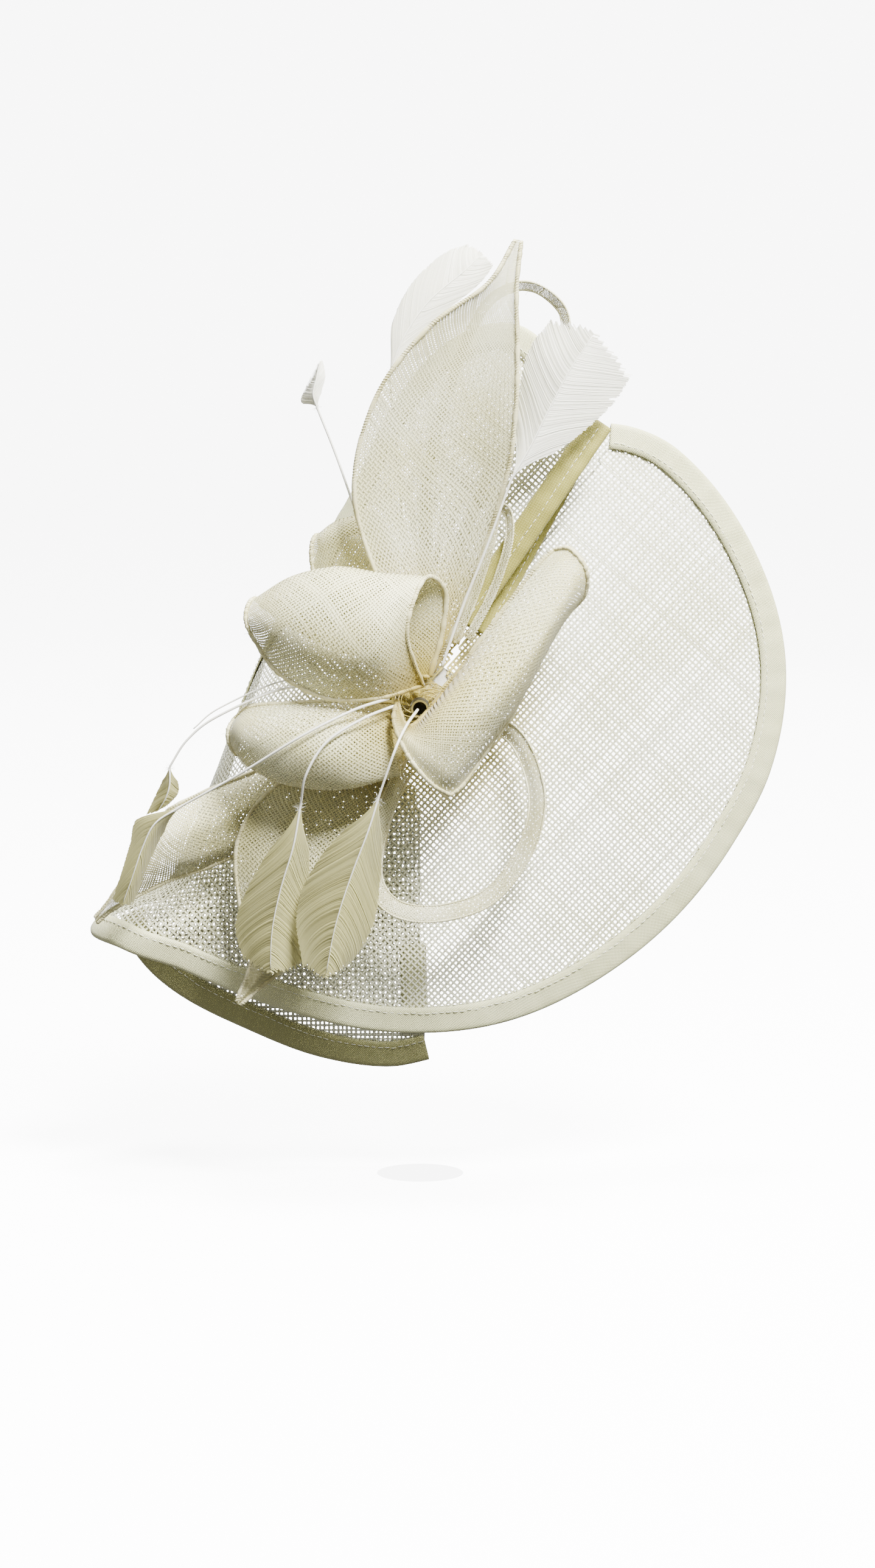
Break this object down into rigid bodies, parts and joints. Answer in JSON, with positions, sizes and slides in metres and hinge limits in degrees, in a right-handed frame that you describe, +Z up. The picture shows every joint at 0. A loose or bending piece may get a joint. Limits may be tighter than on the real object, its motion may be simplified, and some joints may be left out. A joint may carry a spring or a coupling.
{
  "type": "fascinator",
  "caption": "Fascinator headpiece: a curled woven-straw brim with a slit, a flower of rolled petals, leaves, loops and feathers, held by a comb and a hair clip.",
  "frame": {"origin": "centre of the base pad's back face, where it rests on the head, behind the flower", "axes": "+X to the right seen from the front, +Y into the head, +Z up; the whole brim leans 8 degrees back from upright"},
  "size_m": [0.3225, 0.1239, 0.3843],
  "materials": {
    "sinamay": "open woven straw, matt",
    "sinamay_shaded": "open woven straw dyed in a fade, matt",
    "bias_tape": "twill, slight sheen",
    "felt": "matt",
    "feather": "soft, slight sheen",
    "quill": "satin",
    "clear_plastic": "clear, gloss",
    "steel": "bright nickel plate"
  },
  "bodies": {
    "headpiece": {"base_pad": "felt", "brim_sheet": "sinamay", "clip_base": "steel", "clip_pin": "steel", "clip_spring": "steel", "comb": "clear_plastic", "feather_left_1_quill": "quill", "feather_left_1_vane": "feather", "feather_left_2_quill": "quill", "feather_left_2_vane": "feather", "feather_lower_1_quill": "quill", "feather_lower_1_vane": "feather", "feather_lower_2_quill": "quill", "feather_lower_2_vane": "feather", "feather_right_quill": "quill", "feather_right_vane": "feather", "feather_small_quill": "quill", "feather_small_vane": "feather", "feather_top_quill": "quill", "feather_top_vane": "feather", "flower_core": "sinamay_shaded", "flower_disc": "felt", "leaf_lower": "sinamay_shaded", "leaf_lower_left": "sinamay_shaded", "leaf_top": "sinamay", "loop_right": "sinamay", "loop_small": "sinamay", "loop_top": "sinamay", "petal_back": "sinamay_shaded", "petal_lower_left": "sinamay_shaded", "petal_right": "sinamay_shaded", "petal_upper_left": "sinamay_shaded", "quill_bare": "quill", "rim_binding": "bias_tape", "rim_wire": "steel", "slit_binding_lower": "bias_tape", "slit_binding_upper": "bias_tape", "under_rim_binding": "bias_tape", "under_sheet": "sinamay", "under_side_binding": "bias_tape"},
    "clip_arm": {"clip_lever": "steel", "clip_spring_arm": "steel"}
  },
  "joints": [
    {"name": "clip_hinge", "type": "hinge", "parent": "headpiece", "child": "clip_arm", "pos_m": [0.006, 0.00541, 0.00833], "axis": [0, -0.1392, -0.9903], "range_deg": [0, 26], "stiffness_Nm_per_rad": 0.03}
  ]
}
